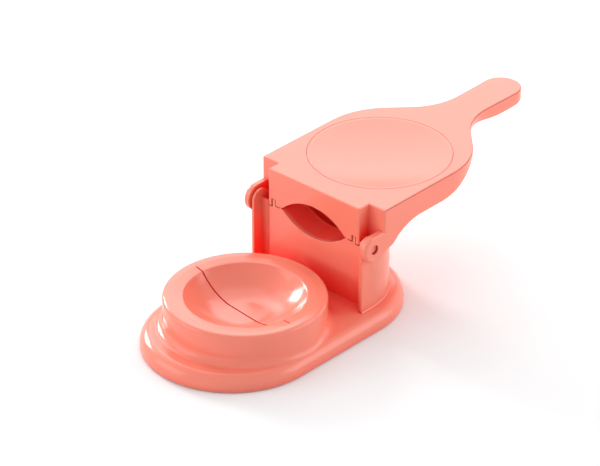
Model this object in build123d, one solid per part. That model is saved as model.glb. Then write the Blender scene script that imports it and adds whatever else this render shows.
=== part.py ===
from build123d import *
from math import cos, hypot, radians, sin, sqrt, tan
import os

os.makedirs("parts", exist_ok=True)

# Driving dimensions, in millimetres. X runs from the dish towards the open lever's handle,
# Y along the hinge pins and Z up from the table. X = 0 is the middle of the open press.

# Moulding and fits
wall = 2.5                      # general moulded wall
rib = 1.8                       # stiffening rib
seat_gap = 0.2                  # clearance round a seated insert
pin_gap = 0.05                  # radial clearance of a hinge pin or a screw shank
swing_gap = 0.4                 # clearance between the lever and what it swings past

# Oval plinth
plinth_end_radius = 55.5
plinth_end_spacing = 71.0
plinth_top = 10.4
plinth_edge_round = 7.5
foot_radius = 7.0
foot_height = 3.0
foot_standoff = 0.8             # how far the feet hold the plinth off the table
foot_margin = 14.5              # feet's centres in from the plinth's ends
foot_angle = 50.0
foot_chamfer = 0.4

# Round boss and its dish
boss_margin = 5.9               # boss wall in from the plinth's sides
boss_inset = 11.2               # boss axis from the centre of the plinth's front end
boss_edge_round = 2.5
boss_foot_round = 5.0           # hollow round from the boss wall into the plinth
rim_band = 6.3                  # top of the boss wall, from its outside to the dish
dish_flange = 2.4
dish_ledge = 3.0
dish_rim = 5.9                  # dish's rim, from its outside to the mouth
dish_mouth_drop = 0.7           # the mouth lies lower than the outer rim
dish_depth = 12.3
dish_floor_radius = 10.5
dish_wall = 2.4
dish_mouth_round = 1.5
slit_width = 0.6
slit_turn = 6.5                 # slit from the direction of the hinge pins
slit_offset = 1.9               # slit from the boss axis
lug_width = 9.0
lug_height = 2.6
lug_drop = 4.6                  # lug's top below the dish floor
lug_post_margin = 1.0           # a dish post is this much narrower than its lug
lug_inset = 6.7                 # dish screws in from the dish's seat
lug_angle = 40.0

# Hinge
hinge_height = 53.5
hinge_lead = 2.0                # hinge axis ahead of the tower's round centre
pin_radius = 3.0
pin_recess = 1.6
pin_skin = 0.8                  # wall left behind a pin, inside its cheek
pin_chamfer = 0.4
lever_rise = 23.1               # lever's press face above the hinge axis when open
closed_gap = 0.3                # press face above the dish rim when closed

# Tower
tower_margin = 10.5             # tower wall in from the plinth's sides
tower_setback = 2.5             # tower's round centre behind the plinth's rear centre
tower_wall = 2.4
cheek_reach = 6.6               # cheeks ahead of the hinge axis, and their top radius
tower_edge_round = 1.0
cheek_foot_notch = 1.6
foot_lip_width = 1.6            # raised lip round the tower's foot
foot_lip_height = 1.6
post_width = 5.8                # front posts between a cheek and the panel
post_thickness = 1.4
post_rise = 0.6                 # front posts above the hinge axis
rail_thickness = 1.5
rail_overlap = 2.6
tower_boss_radius = 4.0
tower_boss_height = 15.0
tower_boss_angles = (25.0, 75.0)

# Front panel with the lower half of the mould mouth
panel_thickness = 3.0
tongue_reach = 2.4
tongue_drop = 4.0
mouth_side = 11.0               # mouth's corners in from the panel's sides
mouth_drop = 1.1                # corners of the mouth below the hinge axis
mouth_down = 10.4
mouth_up = 11.3
mouth_corner_round = 5.0
mouth_lip = 3.4                 # flat lip beside the mouth, behind the panel
trough_depth = 18.5
trough_wall = 2.0
tab_width = 2.6
tab_inset = 2.9
tab_height = 3.9
corner_drop = 2.1               # panel's outer corners below the hinge axis

# Lever
ear_gap = 0.4
ear_thickness = 4.2
ear_radius = 8.5
ear_edge_round = 1.7
ear_link = 21.0
ear_chin = 14.7                 # from the hinge axis to where the ear meets the skirt's sweep
notch_gap = 2.2                 # lever's shoulders ahead of the cheeks when closed
lever_top_wall = 2.8
lever_edge_round = 0.8
lever_corner_round = 1.0
skirt_depth = 15.4
skirt_sweep_radius = 36.8
skirt_sweep_end = 42.0          # from the hinge axis to where the skirt is level
neck_half = 12.0
neck_round = 42.0
shoulder_angle = 45.0
handle_end_radius = 12.6
handle_reach = 188.0            # hinge axis to the tip of the handle
neck_depth = 3.2
neck_start = 60.0               # from the hinge axis to where the skirt begins to rise
neck_end = 107.0
grip_start = 120.0              # from the hinge axis to where the handle begins to deepen
handle_depth = 8.7
handle_belly = 161.0            # from the hinge axis to the handle's deepest place
handle_tip_depth = 3.4
stop_gap = 0.3                  # lever rests this close to the tower's top
rib_clear = 1.0
cross_ribs = (70.0, 96.0)       # from the hinge axis

# Press plate in the lever
plate_margin = 5.0              # plate in from the lever's sides
plate_edge = 4.0
plate_rim = 2.0                 # flat rim round the plate's hollow
plate_dish_depth = 2.4
well_floor = 1.8

# Self-tapping screws
screw_radius = 1.5
head_radius = 3.1
head_height = 2.0
head_clear = 1.0                # screw heads from a rib
plate_screw_bite = 2.4
dish_screw_bite = 5.0
tower_screw_bite = 9.0

# Places that follow from the dimensions
hinge_setback = tower_setback - hinge_lead
press_length = plinth_end_radius + plinth_end_spacing + hinge_setback + handle_reach
front_x = plinth_end_radius - press_length / 2
rear_x = front_x + plinth_end_spacing
middle_x = (front_x + rear_x) / 2
boss_x = front_x + boss_inset
tower_x = rear_x + tower_setback
hinge_x = rear_x + hinge_setback
rim_top = hinge_height - lever_rise - closed_gap
press_top = hinge_height + lever_rise
press_x = 2 * hinge_x - boss_x
boss_radius = plinth_end_radius - boss_margin
seat_radius = boss_radius - rim_band
dish_radius = seat_radius - seat_gap
dish_mouth_radius = dish_radius - dish_rim
lug_radius = seat_radius - lug_inset
foot_radial = plinth_end_radius - foot_margin
ledge_top = rim_top - dish_flange
mouth_z = rim_top - dish_mouth_drop
dish_floor = mouth_z - dish_depth
lug_top = dish_floor - lug_drop
tower_radius = plinth_end_radius - tower_margin
tower_inside = tower_radius - tower_wall
cheek_front = hinge_x - cheek_reach
post_front = hinge_x + swing_gap
panel_half = tower_inside - post_width
mouth_half = panel_half - mouth_side
mouth_z_corner = hinge_height - mouth_drop
mouth_low = mouth_z_corner + swing_gap
ear_inside = tower_radius + ear_gap
lever_half = ear_inside + ear_thickness
shoulder_x = hinge_x + cheek_reach + notch_gap
paddle_x = 2 * hinge_x - front_x
skirt_bottom = press_top - skirt_depth
lever_stop = hinge_height + stop_gap
plate_radius = lever_half - plate_margin
plate_dish_radius = plate_radius - plate_rim
plate_bottom = press_top - plate_edge
tall = 2 * (press_top + lever_rise)


def cylinder(x, y, z, radius, height):
    """An upright cylinder standing on the point x, y, z."""
    return Pos(x, y, z + height / 2) * Cylinder(radius, height)


def block(x0, x1, y0, y1, z0, z1):
    """A box between two corners."""
    middle = Pos((x0 + x1) / 2, (y0 + y1) / 2, (z0 + z1) / 2)
    return middle * Box(x1 - x0, y1 - y0, z1 - z0)


def turned(x, *lines):
    """A solid turned about the upright axis at x from lines in radius and height."""
    face = make_face(Curve() + list(lines))
    return Pos(x, 0, 0) * revolve(Plane.XZ * face, Axis.Z)


def from_side(sketch, y0, y1):
    """A sketch in X and Z, extruded across the part from y0 to y1."""
    return extrude(Plane.XZ.offset(-y1) * sketch, amount=y1 - y0)


def from_front(sketch, x0, x1):
    """A sketch in Y and Z, extruded along the part from x0 to x1."""
    return extrude(Plane.YZ.offset(x0) * sketch, amount=x1 - x0)


def oval(inset, z0, z1):
    """The plinth's outline, drawn in by an inset, between two heights."""
    slot = SlotCenterToCenter(plinth_end_spacing, 2 * (plinth_end_radius - inset))
    return extrude(Pos(middle_x, 0, z0) * slot, amount=z1 - z0)


def round_top(solid, radius):
    """Round the topmost edges of a solid."""
    return fillet(solid.edges().group_by(Axis.Z)[-1], radius)


def screw(x, y, z, bite):
    """A screw whose head hangs under the height z and whose shank rises above it."""
    head = cylinder(x, y, z - head_height, head_radius, head_height)
    return round_bottom(head) + cylinder(x, y, z, screw_radius, bite)


def round_bottom(head):
    """The domed underside of a screw head."""
    return fillet(head.edges().group_by(Axis.Z)[0], head_height / 2)


def polar(x, radius, angle):
    """A point on a circle about the upright axis at x."""
    return x + radius * cos(radians(angle)), radius * sin(radians(angle))


def tab_span(gap=0.0):
    """Where an upright tab of the panel lies across the part, with a gap round it."""
    outer = panel_half - tab_inset
    return outer - tab_width - gap, outer + gap


# Places of the feet, the screws and the lever's long ribs

foot_places = {
    "foot_front_left": polar(front_x, foot_radial, 180 - foot_angle),
    "foot_front_right": polar(front_x, foot_radial, 180 + foot_angle),
    "foot_rear_left": polar(rear_x, foot_radial, foot_angle),
    "foot_rear_right": polar(rear_x, foot_radial, -foot_angle),
}
lug_angles = [lug_angle, 180 - lug_angle, 180 + lug_angle, -lug_angle]
lug_places = [polar(boss_x, lug_radius, angle) for angle in lug_angles]
tower_boss_radial = tower_inside + tower_wall / 2 - tower_boss_radius
tower_boss_places = [
    polar(tower_x, tower_boss_radial, sign * angle)
    for angle in tower_boss_angles
    for sign in (1, -1)
]
lever_rib_y = tab_span(swing_gap)[0] - rib / 2
plate_screw_offset = lever_rib_y - rib / 2 - head_clear - head_radius
plate_screw_places = [
    (press_x + turn * plate_screw_offset, sign * plate_screw_offset)
    for turn in (1, -1)
    for sign in (1, -1)
]


def make_plinth():
    """Oval plinth with the round boss, hollow from below, with ribs, sockets and lugs."""
    outside = round_top(oval(0, foot_standoff, plinth_top), plinth_edge_round)
    outside += cylinder(boss_x, 0, plinth_top / 2, boss_radius, rim_top - plinth_top / 2)
    foot = [edge for edge in outside.edges() if is_boss_foot(edge)]
    outside = round_top(fillet(foot, boss_foot_round), boss_edge_round)
    ceiling = plinth_top - wall
    hollow = round_top(oval(wall, 0, ceiling), plinth_edge_round - wall)
    bore = boss_radius - wall
    boss_hollow = cylinder(boss_x, 0, 0, bore, ledge_top - dish_ledge)
    solid = outside - hollow - boss_hollow
    solid -= cylinder(boss_x, 0, 0, seat_radius - dish_ledge, rim_top)
    solid -= cylinder(boss_x, 0, ledge_top, seat_radius, dish_flange)
    solid += make_plinth_ribs(ceiling) & (hollow - boss_hollow)
    for x, y in foot_places.values():
        solid += cylinder(x, y, foot_standoff, foot_radius + wall, ceiling - foot_standoff)
    for x, y in foot_places.values():
        solid -= cylinder(x, y, 0, foot_radius + seat_gap, foot_height)
    for angle, (x, y) in zip(lug_angles, lug_places):
        arm = block(lug_radius, bore + wall / 2, -lug_width / 2, lug_width / 2, 0, lug_height)
        pad = cylinder(lug_radius, 0, 0, lug_width / 2, lug_height)
        solid += Pos(boss_x, 0, lug_top - lug_height) * Rot(0, 0, angle) * (arm + pad)
        solid -= cylinder(x, y, 0, screw_radius + pin_gap, lug_top)
    for x, y in tower_boss_places:
        solid -= cylinder(x, y, 0, screw_radius + pin_gap, plinth_top)
    return solid + make_foot_lip()


def is_boss_foot(edge):
    """Whether an edge runs round the boss where its wall meets the plinth."""
    middle = edge @ 0.5
    on_wall = abs(hypot(middle.X - boss_x, middle.Y) - boss_radius) < pin_gap
    return on_wall and middle.Z < plinth_top + pin_gap


def make_foot_lip():
    """Raised lip on the plinth that the tower's foot stands inside."""
    inner = tower_radius + seat_gap
    height = wall / 2 + foot_lip_height
    lip = round_top(extrude(tower_outline(inner + foot_lip_width), amount=height), foot_lip_width / 3)
    lip -= extrude(tower_outline(inner), amount=height)
    lip = Pos(0, 0, plinth_top - wall / 2) * lip
    return lip & block(cheek_front, tower_x + tall, -tall, tall, 0, tall)


def make_plinth_ribs(ceiling):
    """Crossed ribs under the plinth's top, as deep as its wall."""
    reach = press_length
    low = foot_standoff + wall / 2
    ribs = None
    for y in (-plinth_end_radius / 2, 0, plinth_end_radius / 2):
        bar = block(-reach, reach, y - rib / 2, y + rib / 2, low, ceiling)
        ribs = bar if ribs is None else ribs + bar
    for x in (rear_x - tower_radius / 2, rear_x, rear_x + tower_radius / 2):
        ribs += block(x - rib / 2, x + rib / 2, -reach, reach, low, ceiling)
    return ribs


def dish_surface(drop=0.0):
    """Section of the dish's floor and its round wall up to the mouth, lowered by a drop."""
    run = dish_mouth_radius - dish_floor_radius
    bend = (run**2 + dish_depth**2) / (2 * dish_depth)
    sag = bend - sqrt(bend**2 - (run / 2) ** 2)
    floor = dish_floor - drop
    return [
        Line((0, floor), (dish_floor_radius, floor)),
        ThreePointArc(
            (dish_floor_radius, floor),
            (dish_floor_radius + run / 2, floor + sag),
            (dish_mouth_radius, mouth_z - drop),
        ),
    ]


def make_dish():
    """Dish insert, flanged into the boss, as a front half and a rear half along the slit."""
    shelf = seat_radius - dish_ledge - seat_gap
    dish = turned(
        boss_x,
        *dish_surface(),
        Polyline((dish_mouth_radius, mouth_z), (dish_radius, rim_top), (dish_radius, ledge_top)),
        Polyline((dish_radius, ledge_top), (shelf, ledge_top), (dish_mouth_radius, mouth_z - dish_wall)),
        *dish_surface(dish_wall),
        Line((0, dish_floor - dish_wall), (0, dish_floor)),
    )
    mouth = [
        edge
        for edge in dish.edges().filter_by(GeomType.CIRCLE)
        if abs(edge.radius - dish_mouth_radius) < pin_gap and edge.center().Z > mouth_z - dish_wall / 2
    ]
    dish = fillet(mouth, dish_mouth_round)
    post_radius = lug_width / 2 - lug_post_margin
    post_height = mouth_z - dish_wall / 2 - lug_top
    for x, y in lug_places:
        dish += cylinder(x, y, lug_top, post_radius, post_height) - over_dish()
    for x, y in lug_places:
        dish -= cylinder(x, y, lug_top, screw_radius + pin_gap, dish_screw_bite)
    slit = Pos(boss_x, 0, 0) * Rot(0, 0, -slit_turn) * block(
        -slit_offset - slit_width / 2, -slit_offset + slit_width / 2, -boss_radius, boss_radius, 0, tall
    )
    halves = (dish - slit).solids().sort_by(Axis.X)
    return halves[0], halves[-1]


def over_dish():
    """The space above the middle of the dish's wall, which its screw posts stay under."""
    skin = dish_wall / 2
    return turned(
        boss_x,
        *dish_surface(skin),
        Polyline((dish_mouth_radius, mouth_z - skin), (boss_radius, rim_top - skin), (boss_radius, tall)),
        Polyline((boss_radius, tall), (0, tall), (0, dish_floor - skin)),
    )


def tower_outline(radius):
    """Plan of the tower: round behind, straight along the cheeks and open in front."""
    straight = tower_x - cheek_front
    body = Pos(cheek_front + straight / 2, 0) * Rectangle(straight, 2 * radius)
    return body + Pos(tower_x, 0) * Circle(radius)


def make_tower():
    """Round-backed tower with two cheeks for the pins, front posts and panel rails."""
    behind = block(cheek_front, tower_x + tall, -tall, tall, 0, tall)
    ring = extrude(tower_outline(tower_radius) - tower_outline(tower_inside), amount=tall) & behind
    depth = tower_x + tower_radius - cheek_front
    height = hinge_height - plinth_top
    side = Pos(cheek_front + depth / 2, plinth_top + height / 2) * Rectangle(depth, height)
    side += Pos(hinge_x, hinge_height) * Circle(cheek_reach)
    solid = ring & from_side(side, -tall, tall)
    post_top = hinge_height + post_rise
    rail_front = post_front + panel_thickness + seat_gap
    for sign in (1, -1):
        inner, outer = sorted((sign * (panel_half + seat_gap), sign * (tower_inside + tower_wall / 2)))
        solid += block(post_front, post_front + post_thickness, inner, outer, plinth_top, post_top)
        inner, outer = sorted(
            (sign * (tower_inside - rail_overlap), sign * (tower_inside + tower_wall / 2))
        )
        rail_top = hinge_height - tongue_drop
        solid += block(rail_front, rail_front + rail_thickness, inner, outer, plinth_top, rail_top)
    for x, y in tower_boss_places:
        solid += cylinder(x, y, plinth_top, tower_boss_radius, tower_boss_height)
    for x, y in tower_boss_places:
        solid -= cylinder(x, y, plinth_top, screw_radius + pin_gap, tower_boss_height - wall)
    notch_x = cheek_front + cheek_foot_notch
    notch_top = plinth_top + cheek_foot_notch / 2
    solid -= block(cheek_front, notch_x, -tall, tall, plinth_top, notch_top)
    solid &= extrude(tower_outline(tower_radius), amount=tall)
    rims = [edge for edge in solid.edges() if is_tower_rim(edge)]
    solid = fillet(rims, tower_edge_round)
    for sign in (1, -1):
        solid -= pin_hole(*sorted((sign * (tower_inside + pin_skin), sign * tall)))
    return solid


def pin_hole(y0, y1):
    """The hole of a hinge pin across the part from y0 to y1."""
    return from_side(Pos(hinge_x, hinge_height) * Circle(pin_radius + pin_gap), y0, y1)


def is_tower_rim(edge):
    """Whether an edge runs round the tower's outside, up a cheek's front or along the top."""
    middle = edge @ 0.5
    if middle.X < tower_x:
        outside = abs(abs(middle.Y) - tower_radius) < pin_gap
    else:
        outside = abs(hypot(middle.X - tower_x, middle.Y) - tower_radius) < pin_gap
    front = abs(middle.X - cheek_front) < pin_gap and middle.Z > plinth_top + cheek_foot_notch
    return outside and (front or middle.Z > hinge_height - pin_gap)


def mouth_half_disc(bulge, spread=0.0):
    """Half of the lens-shaped mouth: the space from its corners to an arc above or below them."""
    left = (-mouth_half - spread, mouth_z_corner)
    right = (mouth_half + spread, mouth_z_corner)
    arc = ThreePointArc(left, (0, mouth_z_corner + bulge), right)
    return make_face(Curve() + [arc, Line(right, left)])


def make_panel():
    """Front panel with two tabs and the curved trough of the lower half of the mouth."""
    corner = hinge_height - corner_drop
    bottom = plinth_top
    inner, outer = tab_span()
    plate = Pos(0, (bottom + corner) / 2) * Rectangle(2 * panel_half, corner - bottom)
    step_width = 2 * inner + tab_width
    plate += Pos(0, (bottom + mouth_z_corner) / 2) * Rectangle(step_width, mouth_z_corner - bottom)
    tab_top = mouth_z_corner + tab_height
    for sign in (1, -1):
        plate += Pos(sign * (inner + outer) / 2, (bottom + tab_top) / 2) * Rectangle(
            tab_width, tab_top - bottom
        )
    plate = round_lip(plate - mouth_half_disc(-mouth_down))
    solid = from_front(plate, post_front, post_front + panel_thickness)
    tongue_top = hinge_height - tongue_drop
    tongue_half = panel_half + tongue_reach
    tongue = Pos(0, (bottom + tongue_top) / 2) * Rectangle(2 * tongue_half, tongue_top - bottom)
    tongue -= mouth_half_disc(-mouth_down)
    tongue_front = post_front + post_thickness + seat_gap
    solid += from_front(tongue, tongue_front, post_front + panel_thickness)
    trough = mouth_half_disc(-mouth_down - trough_wall, mouth_lip) - mouth_half_disc(-mouth_down)
    return solid + from_front(round_lip(trough), post_front, post_front + trough_depth)


def round_lip(sketch):
    """Round the two corners of a sketch where the mouth's arc reaches its lip."""
    corners = [
        sketch.vertices().sort_by_distance((sign * mouth_half, mouth_z_corner))[0] for sign in (1, -1)
    ]
    return fillet(corners, mouth_corner_round)


def lever_outline():
    """Plan of the lever: end block, shoulders, round paddle, neck and handle."""
    turn = radians(shoulder_angle)
    touch_x = paddle_x + lever_half * sin(turn)
    touch_y = lever_half * cos(turn)
    corner_x = touch_x + (touch_y - neck_half) / tan(turn)
    end_x = hinge_x + handle_reach - handle_end_radius
    side = [
        Polyline((hinge_x, 0), (hinge_x, panel_half), (shoulder_x, panel_half), (shoulder_x, lever_half)),
        Line((shoulder_x, lever_half), (paddle_x, lever_half)),
        CenterArc((paddle_x, 0), lever_half, 90 - shoulder_angle, shoulder_angle),
        Line((touch_x, touch_y), (corner_x, neck_half)),
        Line((corner_x, neck_half), (end_x, handle_end_radius)),
        CenterArc((end_x, 0), handle_end_radius, 0, 90),
        Line((end_x + handle_end_radius, 0), (hinge_x, 0)),
    ]
    half = make_face(Curve() + side)
    neck = half.vertices().sort_by_distance((corner_x, neck_half))[0]
    half = fillet(neck, neck_round)
    for place in ((hinge_x, panel_half), (shoulder_x, lever_half)):
        corner = half.vertices().sort_by_distance(place)[0]
        half = fillet(corner, lever_corner_round)
    return half + mirror(half, Plane.XZ)


def lever_side():
    """Side view of the lever: level press face, swept skirt and thin handle."""
    sweep_x = hinge_x + skirt_sweep_end
    sweep_z = skirt_bottom - skirt_sweep_radius
    start_x = sweep_x - sqrt(skirt_sweep_radius**2 - (lever_stop - sweep_z) ** 2)
    half_turn = (start_x + sweep_x) / 2
    half_z = sweep_z + sqrt(skirt_sweep_radius**2 - (sweep_x - half_turn) ** 2)
    neck_z = press_top - neck_depth
    belly_z = press_top - handle_depth
    tip_z = press_top - handle_tip_depth
    neck_x0 = hinge_x + neck_start
    neck_x1 = hinge_x + neck_end
    grip_x = hinge_x + grip_start
    belly_x = hinge_x + handle_belly
    tip_x = hinge_x + handle_reach
    block_z = hinge_height - corner_drop + swing_gap
    return make_face(
        Curve()
        + [
            Polyline((hinge_x, press_top), (hinge_x, block_z), (shoulder_x, block_z)),
            Polyline((shoulder_x, block_z), (shoulder_x, lever_stop), (start_x, lever_stop)),
            ThreePointArc((start_x, lever_stop), (half_turn, half_z), (sweep_x, skirt_bottom)),
            Line((sweep_x, skirt_bottom), (neck_x0, skirt_bottom)),
            Spline((neck_x0, skirt_bottom), (neck_x1, neck_z), tangents=((1, 0), (1, 0))),
            Line((neck_x1, neck_z), (grip_x, neck_z)),
            Spline((grip_x, neck_z), (belly_x, belly_z), tangents=((1, 0), (1, 0))),
            Spline((belly_x, belly_z), (tip_x, tip_z), tangents=((1, 0), (1, 1))),
            Polyline((tip_x, tip_z), (tip_x, press_top), (hinge_x, press_top)),
        ]
    )


def make_ears():
    """Two ears that reach forward over the cheeks and carry the pins."""
    link_x = hinge_x + ear_link
    sweep_x = hinge_x + skirt_sweep_end
    sweep_z = skirt_bottom - skirt_sweep_radius
    low_x = hinge_x + ear_chin
    low_z = sweep_z + sqrt(skirt_sweep_radius**2 - (sweep_x - low_x) ** 2)
    link_z = sweep_z + sqrt(skirt_sweep_radius**2 - (sweep_x - link_x) ** 2)
    ring = Pos(hinge_x, hinge_height) * Circle(ear_radius)
    link = make_face(
        Polyline(
            (hinge_x, hinge_height + ear_radius),
            (link_x, hinge_height + ear_radius),
            (link_x, link_z),
            (low_x, low_z),
            (hinge_x, hinge_height),
            close=True,
        )
    )
    outline = make_hull(ring.edges() + link.edges())
    ears = None
    for sign in (1, -1):
        ear = from_side(outline, *sorted((sign * ear_inside, sign * lever_half)))
        rim = ear.faces().sort_by(Axis.Y)[-1 if sign > 0 else 0].edges()
        front = [edge for edge in rim if edge.center().X < shoulder_x]
        ear = fillet(front, ear_edge_round)
        ears = ear if ears is None else ears + ear
    return ears


def make_lever():
    """Lever moulding: skirted paddle with handle, plate well, ribs, mouth hood and ears."""
    outline = lever_outline()
    prism = round_top(extrude(outline, amount=press_top), lever_edge_round)
    solid = prism & from_side(lever_side(), -tall, tall)
    inside = offset(outline, -wall)
    ceiling = press_top - lever_top_wall
    well_radius = plate_radius + seat_gap
    cup_bottom = plate_bottom - well_floor
    hollow = extrude(inside, amount=ceiling)
    hollow -= cylinder(press_x, 0, cup_bottom, well_radius + wall, tall)
    solid -= hollow
    solid -= cylinder(press_x, 0, plate_bottom, well_radius, tall)
    solid += make_lever_ribs(ceiling) & hollow & from_side(lever_side(), -tall, tall)
    hood = mouth_half_disc(mouth_up + trough_wall, mouth_lip)
    solid += from_front(hood, hinge_x, hinge_x + trough_depth) & above_mouth()
    solid -= from_front(mouth_opening(), hinge_x - wall, hinge_x + trough_depth)
    inner, outer = tab_span(swing_gap)
    tab_top = mouth_z_corner + tab_height + swing_gap
    clear = Pos(0, mouth_low / 2) * Rectangle(2 * outer, mouth_low)
    for sign in (1, -1):
        clear += Pos(sign * (inner + outer) / 2, tab_top / 2) * Rectangle(outer - inner, tab_top)
    solid -= from_front(clear, hinge_x - wall, post_front + panel_thickness + swing_gap)
    solid += make_ears()
    for sign in (1, -1):
        solid -= pin_hole(*sorted((sign * tower_radius, sign * tall)))
    for x, y in plate_screw_places:
        solid -= cylinder(x, y, cup_bottom - wall, screw_radius + pin_gap, well_floor + wall)
    return solid


def mouth_opening():
    """Upper half of the mouth, whose arc flares out into the level edge beside it."""
    opening = mouth_half_disc(mouth_up)
    opening += Pos(0, mouth_low / 2) * Rectangle(2 * (mouth_half + mouth_lip), mouth_low)
    corners = [
        vertex
        for vertex in opening.vertices()
        if abs(vertex.Y - mouth_low) < pin_gap and abs(vertex.X) < mouth_half
    ]
    return fillet(corners, mouth_corner_round)


def above_mouth():
    """The space over the mouth's corners, clear of the trough's edges."""
    return block(hinge_x - wall, hinge_x + tall, -tall, tall, mouth_low, mouth_low + tall)


def make_lever_ribs(ceiling):
    """Two long ribs and cross ribs under the lever's press face."""
    end_x = hinge_x + handle_reach
    ribs = block(hinge_x + max(cross_ribs), end_x, -rib / 2, rib / 2, 0, ceiling)
    for y in (lever_rib_y, -lever_rib_y):
        ribs += block(hinge_x, end_x, y - rib / 2, y + rib / 2, mouth_low, ceiling)
    low = skirt_bottom + rib_clear
    for reach in cross_ribs:
        x = hinge_x + reach
        ribs += block(x - rib / 2, x + rib / 2, -lever_half, lever_half, low, ceiling)
    return ribs


def make_plate():
    """Round press plate, hollowed on its face, that drops into the lever's well."""
    floor = press_top - plate_dish_depth
    curve = (plate_dish_radius**2 + plate_dish_depth**2) / (2 * plate_dish_depth)
    middle = plate_dish_radius / 2
    sag = curve - sqrt(curve**2 - middle**2)
    solid = turned(
        press_x,
        ThreePointArc((0, floor), (middle, floor + sag), (plate_dish_radius, press_top)),
        Polyline((plate_dish_radius, press_top), (plate_radius, press_top), (plate_radius, plate_bottom)),
        Polyline((plate_radius, plate_bottom), (0, plate_bottom), (0, floor)),
    )
    for x, y in plate_screw_places:
        solid -= cylinder(x, y, plate_bottom, screw_radius + pin_gap, plate_screw_bite)
    return solid


def make_pin(sign):
    """A short hinge pin through an ear into a cheek, sunk below the ear's outside."""
    seat = tower_inside + pin_skin + pin_gap
    inner, outer = sorted((sign * seat, sign * (lever_half - pin_recess)))
    pin = from_side(Pos(hinge_x, hinge_height) * Circle(pin_radius), inner, outer)
    return chamfer(pin.edges().filter_by(GeomType.CIRCLE), pin_chamfer)


def make_foot(x, y):
    """A round rubber foot pushed into its socket."""
    foot = cylinder(x, y, 0, foot_radius, foot_height)
    return chamfer(foot.edges().group_by(Axis.Z)[0], foot_chamfer)


dish_front, dish_rear = make_dish()
cup_bottom = plate_bottom - well_floor
nodes = {
    "base_plinth": make_plinth(),
    "dish_front_half": dish_front,
    "dish_rear_half": dish_rear,
    "dish_screws": Compound(
        [screw(x, y, lug_top - lug_height, lug_height + dish_screw_bite) for x, y in lug_places]
    ),
    "tower_shell": make_tower(),
    "tower_front_panel": make_panel(),
    "tower_screws": Compound(
        [screw(x, y, plinth_top - wall, wall + tower_screw_bite) for x, y in tower_boss_places]
    ),
    "lever_body": make_lever(),
    "press_plate": make_plate(),
    "press_plate_screws": Compound(
        [screw(x, y, cup_bottom, well_floor + plate_screw_bite) for x, y in plate_screw_places]
    ),
    "hinge_pin_left": make_pin(1),
    "hinge_pin_right": make_pin(-1),
}
for name, place in foot_places.items():
    nodes[name] = make_foot(*place)
for name, solid in nodes.items():
    export_step(solid, os.path.join("parts", name + ".step"))
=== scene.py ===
from math import cos, hypot, pi, radians, sin

import bpy
from mathutils import Matrix, Vector


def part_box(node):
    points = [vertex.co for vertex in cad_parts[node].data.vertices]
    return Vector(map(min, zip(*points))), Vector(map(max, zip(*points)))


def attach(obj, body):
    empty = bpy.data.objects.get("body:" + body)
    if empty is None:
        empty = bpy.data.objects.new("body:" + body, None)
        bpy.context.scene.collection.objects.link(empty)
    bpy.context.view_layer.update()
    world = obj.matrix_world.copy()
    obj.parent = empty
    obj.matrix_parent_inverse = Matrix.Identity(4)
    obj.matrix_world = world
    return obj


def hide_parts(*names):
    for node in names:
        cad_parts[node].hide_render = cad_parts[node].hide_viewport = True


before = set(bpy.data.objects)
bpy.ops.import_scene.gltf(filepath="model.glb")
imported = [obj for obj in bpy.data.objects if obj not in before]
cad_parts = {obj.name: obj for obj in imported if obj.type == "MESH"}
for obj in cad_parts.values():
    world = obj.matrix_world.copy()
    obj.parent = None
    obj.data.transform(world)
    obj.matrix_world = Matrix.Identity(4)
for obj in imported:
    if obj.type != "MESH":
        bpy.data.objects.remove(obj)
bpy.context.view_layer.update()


# Plinth: the oval foot of the press, which flows by a hollow round into the boss of the dish.
# One injection moulding in gloss coral plastic, hollow underneath and polished outside.

class Socket:
    """A value in a node tree: Python's operators on it add Math nodes."""

    def __init__(self, tree, socket):
        self.tree = tree
        self.socket = socket

    def math(self, operation, other=0.0, swapped=False):
        node = self.tree.nodes.new("ShaderNodeMath")
        node.operation = operation
        for place, value in zip(node.inputs, (other, self) if swapped else (self, other)):
            if isinstance(value, Socket):
                self.tree.links.new(value.socket, place)
            else:
                place.default_value = value
        return Socket(self.tree, node.outputs[0])

    def __add__(self, other):
        return self.math("ADD", other)

    def __sub__(self, other):
        return self.math("SUBTRACT", other)

    def __rsub__(self, other):
        return self.math("SUBTRACT", other, swapped=True)

    def __mul__(self, other):
        return self.math("MULTIPLY", other)

    def __pow__(self, other):
        return self.math("POWER", other)

    def __gt__(self, other):
        return self.math("GREATER_THAN", other)

    def __lt__(self, other):
        return self.math("LESS_THAN", other)

    def __abs__(self):
        return self.math("ABSOLUTE")

    __radd__ = __add__
    __rmul__ = __mul__


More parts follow.
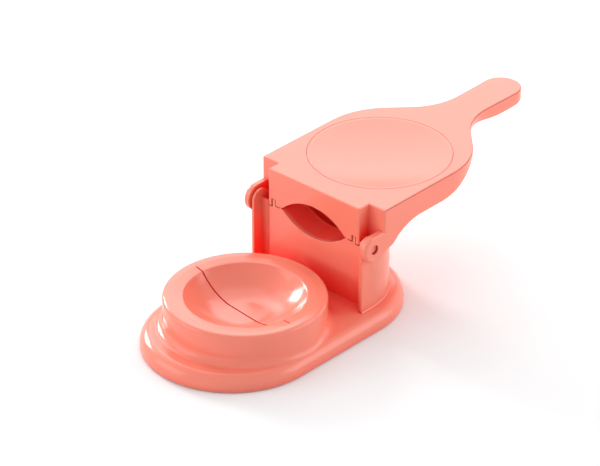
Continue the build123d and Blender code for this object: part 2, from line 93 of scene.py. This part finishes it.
class Finish:
    """A procedural material, or the light of a room: one method adds any node."""

    def __init__(self, name, library=bpy.data.materials):
        self.block = library.new(name)
        self.block.use_nodes = True
        self.tree = self.block.node_tree
        self.tree.nodes.clear()

    def node(self, kind, settings=None, sockets=None, output=""):
        made = self.tree.nodes.new("ShaderNode" + kind)
        for key, value in (settings or {}).items():
            setattr(made, key, value)
        for key, value in (sockets or {}).items():
            place = next(s for s in made.inputs if s.enabled and key in (s.identifier, s.name))
            if isinstance(value, Socket):
                self.tree.links.new(value.socket, place)
            else:
                place.default_value = value
        shown = [s for s in made.outputs if s.enabled and output in ("", s.identifier, s.name)]
        return Socket(self.tree, shown[0]) if shown else None

    def noise(self, place, scale, detail, roughness=0.5, distortion=0.0):
        """Cloudy noise between nought and one."""
        return self.node(
            "TexNoise",
            sockets={
                "Vector": place,
                "Scale": scale,
                "Detail": detail,
                "Roughness": roughness,
                "Distortion": distortion,
            },
        )

    def along(self, place, axis):
        """One coordinate of a place: X, Y or Z."""
        return self.node("SeparateXYZ", sockets={"Vector": place}, output=axis)

    def ramp(self, value, start, end):
        """Nought as far as start, one from end on, and even between the two."""
        return self.node("MapRange", sockets={"Value": value, "From Min": start, "From Max": end})

    def mix(self, factor, first, second):
        """A colour between two others, each a socket or three channels."""
        colours = {
            key: value if isinstance(value, Socket) else (*value, 1.0)
            for key, value in (("A_Color", first), ("B_Color", second))
        }
        return self.node(
            "Mix", {"data_type": "RGBA"}, {"Factor_Float": factor, **colours}, "Result_Color"
        )

    def close(self, sockets):
        """Join the values into one surface and return the finished material."""
        surface = self.node("BsdfPrincipled", sockets=sockets)
        self.node("OutputMaterial", sockets={"Surface": surface})
        return self.block


def coral_plastic(name, coral, gloss, edge_round, shade=0.62, marks=(), lit_through=0.0):
    """Gloss moulded plastic: faint flow shades, orange peel, rubbed edges, painted corner shade.

    gloss is the roughness, edge_round the radius of sharp edges, and shade the openness under
    which a corner is painted deep red as shade. A mark is a mask with its colour. lit_through
    is the share of light that spreads inside a thin wall.
    """
    corner_reach, corner_shut, painted_shade_red = 0.035, 0.15, (1.0, 0.05, 0.035)
    edge_spread, edge_paleness, edge_dulling, haze_dulling = 0.7, 0.35, 0.08, 0.06
    peel_share, haze_share, peel_strength, peel_depth = 0.5, 0.3, 0.02, 0.0004
    spread_colours, spread_depth = (1.0, 0.12, 0.08), 0.008
    flow_shade, rub_white = 0.95, 0.1
    deep = [channel * flow_shade for channel in coral]
    rubbed = [channel * (1 - rub_white) + rub_white for channel in coral]
    finish = Finish(name)
    place = finish.node("TexCoord", output="Object")
    flow = finish.noise(place, scale=26.0, detail=2.0, distortion=1.2)
    haze = finish.noise(place, scale=140.0, detail=4.0, roughness=0.6)
    peel = finish.noise(place, scale=700.0, detail=1.0)
    soft = finish.node("Bevel", {"samples": 6}, {"Radius": edge_round})
    flat = finish.node("NewGeometry", output="True Normal")
    facing = finish.node(
        "VectorMath", {"operation": "DOT_PRODUCT"}, {"Vector": soft, "Vector_001": flat}, "Value"
    )
    edge = (1 - facing) ** edge_spread
    # Painted shade: where the openness falls below shade, the colour turns to a deep red that
    # stands in for the dark of the corner.
    openness = finish.node("AmbientOcclusion", {"samples": 8}, {"Distance": corner_reach}, "AO")
    corner = finish.ramp(openness, shade, corner_shut)
    body = finish.mix(flow, deep, coral)
    body = finish.mix(corner, body, painted_shade_red)
    body = finish.mix(edge * edge_paleness, body, rubbed)
    for mark, tint in marks:
        body = finish.mix(mark(finish, place), body, tint)
    bump = finish.node(
        "Bump",
        sockets={
            "Strength": peel_strength,
            "Distance": peel_depth,
            "Height": peel * peel_share + haze * haze_share,
            "Normal": soft,
        },
    )
    return finish.close(
        {
            "Base Color": body,
            "Roughness": gloss + (haze - 0.5) * haze_dulling + edge * edge_dulling,
            "Normal": bump,
            "IOR": 1.5,
            "Subsurface Weight": lit_through,
            "Subsurface Radius": spread_colours,
            "Subsurface Scale": spread_depth,
        }
    )


coral = (0.98, 0.25, 0.17)
plinth_plastic = coral_plastic("plinth_plastic", coral, gloss=0.17, edge_round=0.0)
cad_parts["base_plinth"].material_slots[0].material = plinth_plastic


# Feet: four round pads of soft pale rubber, pushed into sockets under the plinth. Ring
# grooves in their undersides grip the table.

def pick_faces(piece, test):
    """Select, in edit mode, only the faces whose centre and normal pass a test."""
    bpy.ops.mesh.select_mode(type="FACE")
    bpy.ops.mesh.select_all(action="DESELECT")
    bpy.ops.object.mode_set(mode="OBJECT")
    for face in piece.data.polygons:
        face.select = test(face.center, face.normal)
    bpy.ops.object.mode_set(mode="EDIT")


def break_edges(piece, width):
    """Take the sharpness off a finished piece's edges and shade it smooth."""
    bpy.ops.object.mode_set(mode="OBJECT")
    bevel = piece.modifiers.new("broken_edges", "BEVEL")
    bevel.width = width
    bevel.segments = 2
    bevel.limit_method = "ANGLE"
    bevel.angle_limit = radians(40)
    bpy.ops.object.modifier_apply(modifier=bevel.name)
    bpy.ops.object.shade_smooth_by_angle(angle=radians(35))


def copy_to(piece, name, shift):
    """A copy of a piece, with a mesh of its own, set over by a shift."""
    twin = piece.copy()
    twin.data = piece.data.copy()
    twin.data.transform(Matrix.Translation(shift))
    twin.name = name
    bpy.context.collection.objects.link(twin)
    return twin


rubber_scuffed, rubber_clean = (0.60, 0.585, 0.56), (0.80, 0.79, 0.77)
rubber_dullness, scuff_dulling = 0.62, 0.25
rubber = Finish("foot_rubber")
rubber_place = rubber.node("TexCoord", output="Object")
speckle = rubber.noise(rubber_place, scale=900.0, detail=3.0)
scuff = rubber.noise(rubber_place, scale=120.0, detail=4.0)
foot_rubber = rubber.close(
    {
        "Base Color": rubber.mix(scuff, rubber_scuffed, rubber_clean),
        "Roughness": rubber_dullness + scuff * scuff_dulling,
        "Normal": rubber.node(
            "Bump", sockets={"Strength": 0.3, "Distance": 0.0002, "Height": speckle}
        ),
    }
)

foot_names = [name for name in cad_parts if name.startswith("foot_")]
foot_low, foot_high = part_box(foot_names[0])
foot_centre = (foot_low + foot_high) / 2
foot_size = foot_high - foot_low
groove_land, groove_slope, groove_width, groove_depth = 0.0011, 0.0002, 0.0009, 0.0007
foot_edge, square_on = 0.00015, 0.9
bpy.ops.object.select_all(action="DESELECT")
bpy.ops.mesh.primitive_cylinder_add(
    vertices=64, radius=foot_size.x / 2, depth=foot_size.z, location=foot_centre
)
foot = bpy.context.object
foot.name = foot_names[0] + "_pad"
foot.data.materials.append(foot_rubber)
bpy.ops.object.transform_apply(location=True)
bpy.ops.object.mode_set(mode="EDIT")
pick_faces(foot, lambda place, normal: normal.z < -square_on)
for groove in range(2):
    bpy.ops.mesh.inset(thickness=groove_land)
    for way in (1, -1):
        bpy.ops.mesh.inset(thickness=groove_slope)
        bpy.ops.transform.translate(value=(0.0, 0.0, way * groove_depth))
        if way > 0:
            bpy.ops.mesh.inset(thickness=groove_width)
break_edges(foot, foot_edge)
feet = [foot]
for name in foot_names[1:]:
    feet.append(copy_to(foot, name + "_pad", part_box(name)[0] - foot_low))
for name, pad in zip(foot_names, feet):
    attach(pad, "base")
    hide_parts(name)


# Dish: a shallow round insert in two halves, dropped into the boss from above and screwed
# from below. A thin lip covers the seam on the boss, so only the slit between them shows.

# The dish's hollow gets more of the painted deep red corner shade than the other pieces.
dish_plastic = coral_plastic("dish_plastic", coral, gloss=0.17, edge_round=0.0005, shade=0.8)
dish_halves = ("dish_front_half", "dish_rear_half")
dish_low, dish_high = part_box(dish_halves[0])[0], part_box(dish_halves[1])[1]
dish_x = (dish_low.x + dish_high.x) / 2
dish_radius = (dish_high.x - dish_low.x) / 2
rim_top = dish_high.z
same_place, wall_share, upright = 0.000002, 0.995, 0.1
slit_turn, slit_ease, slit_skin = radians(6.5), 0.00015, 0.00002
lip_edge, lip_steps = 0.0001, ((0.0010, 0.00003), (0.0026, -0.00008))
for half, way in zip(dish_halves, (1, -1)):
    insert = bpy.data.objects.new(half + "_lipped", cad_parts[half].data.copy())
    bpy.context.collection.objects.link(insert)
    insert.material_slots[0].material = dish_plastic
    bpy.ops.object.select_all(action="DESELECT")
    insert.select_set(True)
    bpy.context.view_layer.objects.active = insert
    bpy.ops.mesh.customdata_custom_splitnormals_clear()
    bpy.ops.object.mode_set(mode="EDIT")
    bpy.ops.mesh.select_all(action="SELECT")
    bpy.ops.mesh.remove_doubles(threshold=same_place)
    slit_normal = way * Vector((cos(slit_turn), -sin(slit_turn), 0.0))
    slit_place = max(vertex.co.dot(slit_normal) for vertex in insert.data.vertices)
    pick_faces(insert, lambda place, normal: place.dot(slit_normal) > slit_place - slit_skin)
    bpy.ops.transform.translate(value=-slit_ease * slit_normal)
    bpy.ops.mesh.select_all(action="SELECT")
    bpy.ops.mesh.bisect(
        plane_co=(dish_x, 0.0, rim_top - lip_edge),
        plane_no=(0.0, 0.0, 1.0),
        threshold=same_place,
    )
    pick_faces(
        insert,
        lambda place, normal: abs(normal.z) < upright
        and place.z > rim_top - lip_edge
        and hypot(place.x - dish_x, place.y) > wall_share * dish_radius,
    )
    lip_radius = dish_radius
    for reach, lift in lip_steps:
        spread = 1.0 + reach / lip_radius
        bpy.ops.mesh.extrude_region_move()
        bpy.ops.transform.resize(
            value=(spread, spread, 1.0), center_override=(dish_x, 0.0, rim_top)
        )
        bpy.ops.transform.translate(value=(0.0, 0.0, lift))
        lip_radius += reach
    bpy.ops.object.mode_set(mode="OBJECT")
    bpy.ops.object.shade_smooth_by_angle(angle=radians(35))
    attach(insert, "base")
    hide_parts(half)


# Dish screws: four zinc-plated pan-head screws with a cross recess, driven up through the
# lugs of the boss into the posts of the dish.

steel_tarnished, steel_bright = (0.50, 0.50, 0.49), (0.66, 0.66, 0.68)
steel_dullness, tarnish_dulling = 0.24, 0.22
steel = Finish("screw_steel")
steel_place = steel.node("TexCoord", output="Object")
plating = steel.noise(steel_place, scale=1400.0, detail=3.0)
tarnish = steel.noise(steel_place, scale=260.0, detail=2.0)
screw_steel = steel.close(
    {
        "Base Color": steel.mix(tarnish, steel_tarnished, steel_bright),
        "Metallic": 1.0,
        "Roughness": steel_dullness + tarnish * tarnish_dulling,
        "Normal": steel.node(
            "Bump", sockets={"Strength": 0.15, "Distance": 0.0001, "Height": plating}
        ),
    }
)


def cross_screws(node, body):
    """The four screws of a CAD node, each with a domed head and a cross recess, as one piece."""
    head_radius, head_height, shank_radius = 0.0031, 0.0020, 0.0015
    dome_steps = ((0.86, 0.3), (0.70, 0.15), (0.45, 0.05))
    recess_reach, recess_width, recess_depth = 0.0036, 0.0008, 0.0011
    low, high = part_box(node)
    middle = (low + high) / 2
    places = []
    for turn in range(4):
        side = Vector((1 if turn < 2 else -1, 1 if turn % 2 else -1))
        near = [
            vertex.co
            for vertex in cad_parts[node].data.vertices
            if (vertex.co.x - middle.x) * side.x > 0 and (vertex.co.y - middle.y) * side.y > 0
        ]
        places.append(sum(near, Vector()) / len(near))
    neck = low.z + head_height
    bpy.ops.object.select_all(action="DESELECT")
    bpy.ops.mesh.primitive_cylinder_add(
        vertices=32,
        radius=shank_radius,
        depth=high.z - neck,
        location=(0.0, 0.0, (neck + high.z) / 2),
    )
    screw = bpy.context.object
    bpy.ops.object.transform_apply(location=True)
    bpy.ops.object.mode_set(mode="EDIT")
    flare = head_radius / shank_radius
    pick_faces(screw, lambda place, normal: normal.z < -square_on)
    bpy.ops.mesh.extrude_region_move()
    bpy.ops.transform.resize(value=(flare, flare, 1.0), center_override=(0.0, 0.0, neck))
    bpy.ops.mesh.extrude_region_move(
        TRANSFORM_OT_translate={"value": (0.0, 0.0, -head_height / 2)}
    )
    for share, drop in dome_steps:
        bpy.ops.mesh.extrude_region_move(
            TRANSFORM_OT_translate={"value": (0.0, 0.0, -drop * head_height)}
        )
        bpy.ops.transform.resize(value=(share, share, 1.0), center_override=(0.0, 0.0, neck))
    bpy.ops.object.mode_set(mode="OBJECT")
    for angle in (0.0, pi / 2):
        bpy.ops.object.select_all(action="DESELECT")
        bpy.ops.mesh.primitive_cube_add(
            size=1.0, location=(0.0, 0.0, low.z), rotation=(0.0, 0.0, angle)
        )
        blade = bpy.context.object
        blade.scale = (recess_reach, recess_width, 2 * recess_depth)
        bpy.ops.object.transform_apply(location=True, rotation=True, scale=True)
        cut = screw.modifiers.new("cross_recess", "BOOLEAN")
        cut.object = blade
        bpy.context.view_layer.objects.active = screw
        bpy.ops.object.modifier_apply(modifier=cut.name)
        bpy.data.objects.remove(blade)
    screw.data.materials.clear()
    screw.data.materials.append(screw_steel)
    twins = [copy_to(screw, node + "_copy", (place.x, place.y, 0.0)) for place in places]
    bpy.data.objects.remove(screw)
    bpy.ops.object.select_all(action="DESELECT")
    for twin in twins:
        twin.select_set(True)
    bpy.context.view_layer.objects.active = twins[0]
    bpy.ops.object.join()
    group = bpy.context.object
    group.name = node + "_cross"
    bpy.ops.object.shade_smooth_by_angle(angle=radians(25))
    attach(group, body)
    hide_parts(node)


cross_screws("dish_screws", "base")


# Tower: round-backed shell with two cheeks, moulded in one and polished outside, with rounded
# rims. Its thin walls let a little light through to the inside.

tower_plastic = coral_plastic(
    "tower_plastic", coral, gloss=0.18, edge_round=0.0008, lit_through=0.4
)
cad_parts["tower_shell"].material_slots[0].material = tower_plastic


# Tower screws: four more of the same screws, driven up through the plinth into the screw
# bosses inside the tower.

cross_screws("tower_screws", "base")


# Tower bead: a fine round bead of the plinth's plastic along the tower's foot, half sunk. It
# closes the joint between the two and catches the light as a thin pale line.

bead_radius, bead_sides, bead_steps, bead_merge = 0.0009, 20, 72, 0.00001
tower_low, tower_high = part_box("tower_shell")
tower_half = tower_high.y
bead_run = tower_high.x - tower_half - tower_low.x
bpy.ops.object.select_all(action="DESELECT")
bpy.ops.mesh.primitive_circle_add(
    vertices=bead_sides,
    radius=bead_radius,
    fill_type="NGON",
    location=(tower_low.x, -tower_half, tower_low.z),
    rotation=(0.0, pi / 2, 0.0),
)
bead = bpy.context.object
bead.name = "tower_foot_bead"
bead.data.materials.append(plinth_plastic)
bpy.ops.object.transform_apply(location=True, rotation=True)
bpy.ops.object.mode_set(mode="EDIT")
bpy.ops.mesh.select_all(action="SELECT")
bpy.ops.mesh.extrude_region_move(TRANSFORM_OT_translate={"value": (bead_run, 0.0, 0.0)})
bpy.ops.mesh.spin(
    steps=bead_steps,
    angle=-pi,
    center=(tower_low.x + bead_run, 0.0, tower_low.z),
    axis=(0.0, 0.0, 1.0),
)
bpy.ops.mesh.extrude_region_move(TRANSFORM_OT_translate={"value": (-bead_run, 0.0, 0.0)})
bpy.ops.mesh.select_all(action="SELECT")
bpy.ops.mesh.remove_doubles(threshold=bead_merge)
bpy.ops.mesh.normals_make_consistent(inside=False)
bpy.ops.object.mode_set(mode="OBJECT")
bpy.ops.object.shade_smooth_by_angle(angle=radians(40))
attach(bead, "base")


# Front panel: the flat plate that slides in between the tower's posts and rails. It holds the
# lower half of the lens-shaped mouth and the trough behind it, whose inside is painted a deep
# red as shade. Dark brown shade is painted along its joint with the lever, beside both ends of
# the mouth.

panel_front, panel_rear = [corner.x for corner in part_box("tower_front_panel")]
trough_shade_red, trough_shade_share, front_ease, rear_ease = (1.0, 0.05, 0.035), 0.75, 0.0016, 0.0010
joint_shade_brown, joint_depth = (0.25, 0.035, 0.025), 0.0002
# Each painted shade line: its inner and outer distance from the middle, its lower and upper edge.
joint_lines = (
    (0.0277, 0.0313, 0.0518, 0.0525),
    (0.0312, 0.0317, 0.0518, 0.0564),
    (0.0335, 0.0340, 0.0508, 0.0564),
    (0.0339, 0.0369, 0.0508, 0.0515),
)


def trough_painted_shade(finish, place):
    """Painted shade: full behind the panel's face and before its rear edge, nought on both."""
    across = finish.along(place, "X")
    behind = finish.ramp(across, panel_front + front_ease, panel_front + 2 * front_ease)
    before = finish.ramp(across, panel_rear - rear_ease, panel_rear - 2 * rear_ease)
    return trough_shade_share * behind * before


def joint_painted_shade(finish, place):
    """Painted gap shade: one on the front edges of the panel's top and tabs, against the lever.
    """
    across, sideways, height = [finish.along(place, axis) for axis in "XYZ"]
    from_middle = abs(sideways)
    gap_shade = 0.0
    for inner, outer, low, high in joint_lines:
        beside = (from_middle > inner) * (from_middle < outer)
        beneath = (height > low) * (height < high)
        gap_shade = (beside * beneath).math("MAXIMUM", gap_shade)
    return gap_shade * (across < panel_front + joint_depth)


panel_plastic = coral_plastic(
    "panel_plastic",
    coral,
    gloss=0.16,
    edge_round=0.0009,
    marks=[(trough_painted_shade, trough_shade_red), (joint_painted_shade, joint_shade_brown)],
)
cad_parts["tower_front_panel"].material_slots[0].material = panel_plastic


# Lever: paddle, neck and handle in one skirted moulding, with ears that hang on the pins and
# the upper half of the mouth. A thin darker red line is painted close under its top edge, and
# the walls of the pin holes are painted dark brown as shade.

lever_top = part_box("lever_body")[1].z
line_red, line_lower, line_upper = (0.62, 0.10, 0.07), (0.0009, 0.0007), (0.0001, 0.0002)
shoulder_x, shoulder_ease = -0.0214, (0.0002, 0.0010)
pin_low, pin_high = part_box("hinge_pin_left")
pin_axis = (pin_low + pin_high) / 2
hole_shade_brown, hole_play, hole_ease = (0.40, 0.075, 0.055), 0.0001, 0.00015
hole_radius = (pin_high.x - pin_low.x) / 2 + hole_play
ear_inside, recess_top = 0.0451, 0.0490


def under_top_line(finish, place):
    """One on the skirt just under its top edge, nought on the flat front."""
    across, height = finish.along(place, "X"), finish.along(place, "Z")
    above = finish.ramp(height, *[lever_top - drop for drop in line_lower])
    below = finish.ramp(height, *[lever_top - drop for drop in line_upper])
    beside = finish.ramp(across, *[shoulder_x + ease for ease in shoulder_ease])
    return above * below * beside


def pin_hole_shade(finish, place):
    """Painted shade: one on the walls of the pin holes in the ears."""
    across = finish.along(place, "X") - pin_axis.x
    height = finish.along(place, "Z") - pin_axis.z
    from_middle = abs(finish.along(place, "Y"))
    in_ear = (from_middle > ear_inside) * (from_middle < recess_top)
    from_axis = across * across + height * height
    in_hole = finish.ramp(from_axis, (hole_radius + hole_ease) ** 2, hole_radius**2)
    return in_ear * in_hole


lever_plastic = coral_plastic(
    "lever_plastic",
    coral,
    gloss=0.18,
    edge_round=0.0007,
    marks=[(under_top_line, line_red), (pin_hole_shade, hole_shade_brown)],
)
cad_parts["lever_body"].material_slots[0].material = lever_plastic


# Press plate: the round insert in the paddle, hollowed a little on its face. A moulding of its
# own in the same plastic, set in the lever's well.

plate_plastic = coral_plastic("plate_plastic", coral, gloss=0.16, edge_round=0.0006)
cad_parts["press_plate"].material_slots[0].material = plate_plastic


# Press plate screws: four more of the same screws, driven up through the floor of the lever's
# well into the plate.

cross_screws("press_plate_screws", "lever")


# Hinge pins: two short plastic pins pushed through the ears into the cheeks, with a shallow
# dimple in each end from the mould's ejector.

# The pins are a paler coral than the rest, painted light for their sunk ends.
pin_paler_coral = (0.95, 0.27, 0.19)
pin_plastic = coral_plastic("pin_plastic", pin_paler_coral, gloss=0.22, edge_round=0.0003)
dimple_rim, dimple_slope, dimple_depth, pin_edge = 0.0012, 0.0004, 0.0002, 0.0003
for name in ("hinge_pin_left", "hinge_pin_right"):
    pin_low, pin_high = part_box(name)
    pin_size = pin_high - pin_low
    bpy.ops.object.select_all(action="DESELECT")
    bpy.ops.mesh.primitive_cylinder_add(
        vertices=48,
        radius=pin_size.x / 2,
        depth=pin_size.y,
        location=(pin_low + pin_high) / 2,
        rotation=(pi / 2, 0.0, 0.0),
    )
    pin = bpy.context.object
    pin.name = name + "_dimpled"
    pin.data.materials.append(pin_plastic)
    bpy.ops.object.transform_apply(location=True, rotation=True)
    bpy.ops.object.mode_set(mode="EDIT")
    for way in (1, -1):
        pick_faces(pin, lambda place, normal: normal.y * way > square_on)
        bpy.ops.mesh.inset(thickness=dimple_rim)
        bpy.ops.mesh.inset(thickness=dimple_slope)
        bpy.ops.transform.translate(value=(0.0, -way * dimple_depth, 0.0))
    break_edges(pin, pin_edge)
    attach(pin, "base")
    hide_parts(name)


# Floor: a wide pale sheet that keeps the press's soft shadow. Seen directly or mirrored in the
# plastic it glows a little and fades to pure white away from the press.

full_white, sheet_grey = (1.0, 1.0, 1.0, 1.0), (0.80, 0.80, 0.80, 1.0)
veil_grey, veil_glow = (0.85, 0.85, 0.855, 1.0), 0.08
fade_start, fade_end = 0.45, 1.5
bpy.ops.object.select_all(action="DESELECT")
bpy.ops.mesh.primitive_plane_add(size=8.0, location=(0.0, 0.0, 0.0))
floor = bpy.context.object
floor.name = "floor"
paper = Finish("floor_paper")
paper_place = paper.node("TexCoord", output="Object")
grain = paper.noise(paper_place, scale=37.5, detail=2.0)
sheet = paper.node("BsdfDiffuse", sockets={"Color": sheet_grey, "Roughness": grain})
veil = paper.node("BsdfDiffuse", sockets={"Color": veil_grey})
glow = paper.node("Emission", sockets={"Color": full_white, "Strength": veil_glow})
white = paper.node("Emission", sockets={"Color": full_white, "Strength": 1.0})
lit = paper.node("AddShader", sockets={"Shader": veil, "Shader_001": glow})
from_press = paper.node("VectorMath", {"operation": "LENGTH"}, {"Vector": paper_place}, "Value")
far = paper.ramp(from_press, fade_start, fade_end)
faded = paper.node("MixShader", sockets={"Fac": far, "Shader": lit, "Shader_001": white})
seen = paper.node("LightPath", output="Is Camera Ray")
seen = seen.math("MAXIMUM", paper.node("LightPath", output="Is Glossy Ray"))
surface = paper.node("MixShader", sockets={"Fac": seen, "Shader": sheet, "Shader_001": faded})
paper.node("OutputMaterial", sockets={"Surface": surface})
floor.data.materials.append(paper.block)


# Studio light: soft boxes behind the press, a small bright one that draws the streaks on the
# rounded rims, and fills from the left and right. Three fills are kept out of the plastic's
# reflections. The pale room is dimmer as a light than it looks.

light_aim = Vector((-0.03, 0.0, 0.04))
# Each box: its name, place, width and height, watts, and whether the plastic mirrors it.
soft_boxes = (
    ("back_box", (0.843, 0.786, 0.802), (1.2, 0.6), 4.0, True),
    ("back_top_box", (0.49, 0.468, 1.252), (0.9, 0.8), 2.2, True),
    ("back_left_box", (0.248, 1.036, 0.94), (0.8, 0.6), 1.6, True),
    ("streak_box", (0.049, 1.125, 0.45), (0.3, 0.32), 7.3, True),
    ("left_box", (-1.002, 0.816, 0.632), (0.9, 0.8), 3.4, True),
    ("left_low_box", (-1.231, 0.693, 0.235), (0.9, 0.3), 3.2, False),
    ("right_box", (0.786, -0.972, 0.632), (1.0, 0.9), 5.5, True),
    ("right_low_box", (1.226, -0.586, 0.29), (1.3, 0.5), 3.5, False),
    ("right_back_box", (1.239, 0.0, 0.632), (0.9, 0.8), 2.2, False),
)
for name, place, (width, height), watts, mirrored in soft_boxes:
    bpy.ops.object.light_add(type="AREA", location=place)
    lamp = bpy.context.object
    lamp.name = name
    lamp.data.shape = "RECTANGLE"
    lamp.data.size = width
    lamp.data.size_y = height
    lamp.data.energy = watts
    lamp.visible_glossy = mirrored
    lamp.rotation_euler = (light_aim - Vector(place)).to_track_quat("-Z", "Y").to_euler()

room_light = 0.6
room = Finish("studio_room", bpy.data.worlds)
shown = room.node("LightPath", output="Is Camera Ray")
for ray in ("Is Glossy Ray", "Is Transmission Ray"):
    shown = shown.math("MAXIMUM", room.node("LightPath", output=ray))
room_level = room_light + (1.0 - room_light) * shown
room_white = room.node("Background", sockets={"Color": full_white, "Strength": room_level})
room.node("OutputWorld", sockets={"Surface": room_white})
bpy.context.scene.world = room.block


# Camera: a long lens, level and without roll, that looks down over the dish at the mouth of
# the open press.

azimuth, elevation, distance = radians(-47.589), radians(30.341), 2.4032
target = Vector((-0.042296, 0.0, 0.050886))
back = Vector((sin(azimuth) * cos(elevation), -cos(azimuth) * cos(elevation), sin(elevation)))
bpy.ops.object.camera_add(
    location=target + distance * back, rotation=(pi / 2 - elevation, 0.0, azimuth)
)
camera = bpy.context.object
camera.data.sensor_width = 36.0
camera.data.lens = 240.0
camera.data.clip_end = 20.0
bpy.context.scene.camera = camera

bpy.context.scene.view_settings.view_transform = "Standard"
